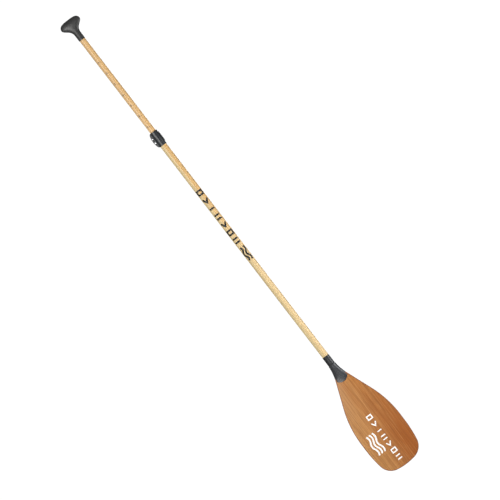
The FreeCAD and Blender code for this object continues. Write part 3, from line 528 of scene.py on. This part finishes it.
def make_prints():
    """Generic marks on the shaft and on the blade."""
    black = ink("black_ink", tone(14, 13, 12), tone(46, 40, 32))
    white = ink("white_ink", tone(246, 246, 244), tone(225, 205, 185))
    shaft = marks_row(top=0.436, bottom=0.186, middle=0.0, length=24 * MM, width=29 * MM,
                      stroke=7.4 * MM)
    shaft += waves(top=0.167, bottom=0.108, middle=0.0, width=29 * MM, stroke=7.6 * MM, count=2)
    film("shaft_print", shaft, on_round(LOWER_RADIUS), black, "lower_half")
    blade = marks_row(top=-0.624, bottom=-0.826, middle=-7 * MM, length=19 * MM, width=23 * MM,
                      stroke=4.6 * MM)
    blade += waves(top=-0.686, bottom=-0.769, middle=-49.5 * MM, width=40 * MM,
                   stroke=6.2 * MM, count=3)
    film("blade_print", blade, on_blade(), white, "lower_half")


SCALE_STEP = 50.8 * MM
SCALE_FIRST = CLAMP_TOP + 23.6 * MM
SCALE_NUMBERS = range(82, 68, -2)
TICK_LEFT = -9.4 * MM
TICK_RIGHT = 3.8 * MM
TICK_WIDTH = 1.1 * MM
DIGIT_HEIGHT = 5.0 * MM
DIGIT_GAP = 1.3 * MM  # from a line's middle to its number's foot
DIGIT_SHARE = 0.7  # height of a digit as a share of the font's size


def digits(text, left, bottom, onto):
    """Vertices and faces of a number, wrapped onto a surface: the curve's front becomes the
    ink's top, and its back the underside."""
    curve = bpy.data.curves.new("digits", "FONT")
    curve.body = text
    curve.size = DIGIT_HEIGHT / DIGIT_SHARE
    curve.extrude = 1.0
    writer = bpy.data.objects.new("digits", curve)
    mesh = bpy.data.meshes.new_from_object(writer)
    vertices = [onto(left + vertex.co.x, bottom + vertex.co.y,
                     PRINT_LIFT if vertex.co.z > 0 else -PRINT_SINK) for vertex in mesh.vertices]
    faces = [list(polygon.vertices) for polygon in mesh.polygons]
    bpy.data.objects.remove(writer)
    bpy.data.curves.remove(curve)
    return vertices, faces


def make_scale():
    """Length scale on the handle's shaft: lines, each with the paddle's whole length in inches."""
    grey = ink("scale_ink", tone(66, 66, 72), tone(120, 110, 96))
    onto = on_round(UPPER_RADIUS)
    lines = []
    vertices = []
    faces = []
    for index, number in enumerate(SCALE_NUMBERS):
        height = SCALE_FIRST + index * SCALE_STEP
        lines.append(ribbon([(TICK_LEFT, height), (TICK_RIGHT, height)], TICK_WIDTH))
        more, added = digits(str(number), TICK_LEFT, height + DIGIT_GAP, onto)
        faces += [[corner + len(vertices) for corner in face] for face in added]
        vertices += more
    film("scale_lines", lines, onto, grey, "handle_half")
    piece("scale_numbers", vertices, faces, grey, "handle_half")


# ---- studio -------------------------------------------------------------------------------

ROLL = 37.54  # degrees that the paddle leans to the left in the picture
FIELD = 1.880  # width of the picture at the paddle
AIM = Vector((0.0181, 0, 0.1385))
AZIMUTH = 2.9
LENS = 600
SENSOR = 36
CLIP_END = 100

# name, azimuth, distance, height, width, tall, power, colour
LIGHTS = (
    ("upper_left", -24, 3.3, 0.95, 1.5, 1.5, 65, (1.0, 0.99, 0.97)),
    ("lower_right", 66, 2.2, -0.34, 1.1, 1.3, 36, (0.98, 0.99, 1.0)),
    ("front", 3, 5.0, -0.9, 2.0, 1.2, 32, (1, 1, 1)),
    ("sheen", -13, 3.0, 0.71, 0.3, 0.25, 9, (1, 1, 1)),
    ("behind", 172, 4.0, 0.6, 2.6, 2.6, 100, (1, 1, 1)),
)


def outward(azimuth):
    """Level direction away from the paddle: azimuth 0 is in front of it, and 90 on its +X side."""
    turn = math.radians(azimuth)
    return Vector((math.sin(turn), -math.cos(turn), 0))


def looking_back(place, back):
    """Matrix of a camera or light at a place, looking against a direction."""
    return Matrix.Translation(place) @ back.to_track_quat("Z", "Y").to_matrix().to_4x4()


def make_camera():
    """Long lens, level, with the paddle leaning to the left in the picture."""
    camera = bpy.data.objects.new("camera", bpy.data.cameras.new("camera"))
    bpy.context.scene.collection.objects.link(camera)
    camera.data.lens = LENS
    camera.data.sensor_width = SENSOR
    camera.data.clip_end = CLIP_END
    back = outward(AZIMUTH)
    distance = FIELD * LENS / SENSOR
    roll = Matrix.Rotation(math.radians(-ROLL), 4, "Z")
    camera.matrix_world = looking_back(AIM + back * distance, back) @ roll
    bpy.context.scene.camera = camera


def area_light(name, azimuth, distance, height, width, tall, power, colour):
    """Upright soft light that faces the paddle."""
    data = bpy.data.lights.new(name, "AREA")
    data.shape = "RECTANGLE"
    data.size = width
    data.size_y = tall
    data.energy = power
    data.color = colour
    back = outward(azimuth)
    light = bpy.data.objects.new(name, data)
    light.matrix_world = looking_back(back * distance + Vector((0, 0, height)), back)
    bpy.context.scene.collection.objects.link(light)


def white_for_camera(tree, seen, unseen, output, socket):
    """White where the camera looks at it, softer where it only lights the paddle."""
    path = tree.nodes.new("ShaderNodeLightPath")
    mix = tree.nodes.new("ShaderNodeMixShader")
    tree.links.new(path.outputs["Is Camera Ray"], mix.inputs["Fac"])
    tree.links.new(unseen.outputs[0], mix.inputs[1])
    tree.links.new(seen.outputs[0], mix.inputs[2])
    tree.links.new(mix.outputs[0], output.inputs[socket])


WHITE = 1.05  # strength that shows as pure white
FRONT_GLOW = 0.33
BACK_GLOW = 0.16
GLOW_FADE = 0.6  # how far to the front and the back the glow changes, as a part of a direction


def make_world():
    """White surroundings, which light the paddle more from the front than from behind."""
    world = bpy.data.worlds.new("studio")
    bpy.context.scene.world = world
    world.use_nodes = True
    tree = world.node_tree
    seen = tree.nodes["Background"]
    seen.inputs["Color"].default_value = (1, 1, 1, 1)
    seen.inputs["Strength"].default_value = WHITE
    unseen = tree.nodes.new("ShaderNodeBackground")
    unseen.inputs["Color"].default_value = (0.98, 0.99, 1.0, 1)
    place = tree.nodes.new("ShaderNodeTexCoord")
    split = tree.nodes.new("ShaderNodeSeparateXYZ")
    fade = tree.nodes.new("ShaderNodeMapRange")
    fade.inputs["From Min"].default_value = -GLOW_FADE
    fade.inputs["From Max"].default_value = GLOW_FADE
    fade.inputs["To Min"].default_value = FRONT_GLOW
    fade.inputs["To Max"].default_value = BACK_GLOW
    tree.links.new(place.outputs["Generated"], split.inputs[0])
    tree.links.new(split.outputs["Y"], fade.inputs["Value"])
    tree.links.new(fade.outputs["Result"], unseen.inputs["Strength"])
    white_for_camera(tree, seen, unseen, tree.nodes["World Output"], "Surface")


FLOOR_HALF = 6.0
FLOOR_GAP = 1 * MM


def make_floor():
    """Plain white floor under the blade's tip."""
    height = BLADE_TIP - FLOOR_GAP
    corners = [(x * FLOOR_HALF, y * FLOOR_HALF, height)
               for x, y in ((-1, -1), (1, -1), (1, 1), (-1, 1))]
    mesh = bpy.data.meshes.new("floor")
    mesh.from_pydata(corners, [], [(0, 1, 2, 3)])
    material = bpy.data.materials.new("floor_white")
    material.use_nodes = True
    tree = material.node_tree
    unseen = tree.nodes["Principled BSDF"]
    unseen.inputs["Base Color"].default_value = (0.8, 0.8, 0.8, 1)
    unseen.inputs["Roughness"].default_value = 0.9
    seen = tree.nodes.new("ShaderNodeEmission")
    seen.inputs["Strength"].default_value = WHITE
    white_for_camera(tree, seen, unseen, tree.nodes["Material Output"], "Surface")
    mesh.materials.append(material)
    floor = bpy.data.objects.new("floor", mesh)
    bpy.context.scene.collection.objects.link(floor)


def make_studio():
    """Camera, soft lights, white world and floor."""
    make_camera()
    make_world()
    make_floor()
    for light in LIGHTS:
        area_light(*light)
    bpy.context.scene.view_settings.view_transform = "Standard"


paint_nodes()
make_prints()
make_scale()
make_studio()
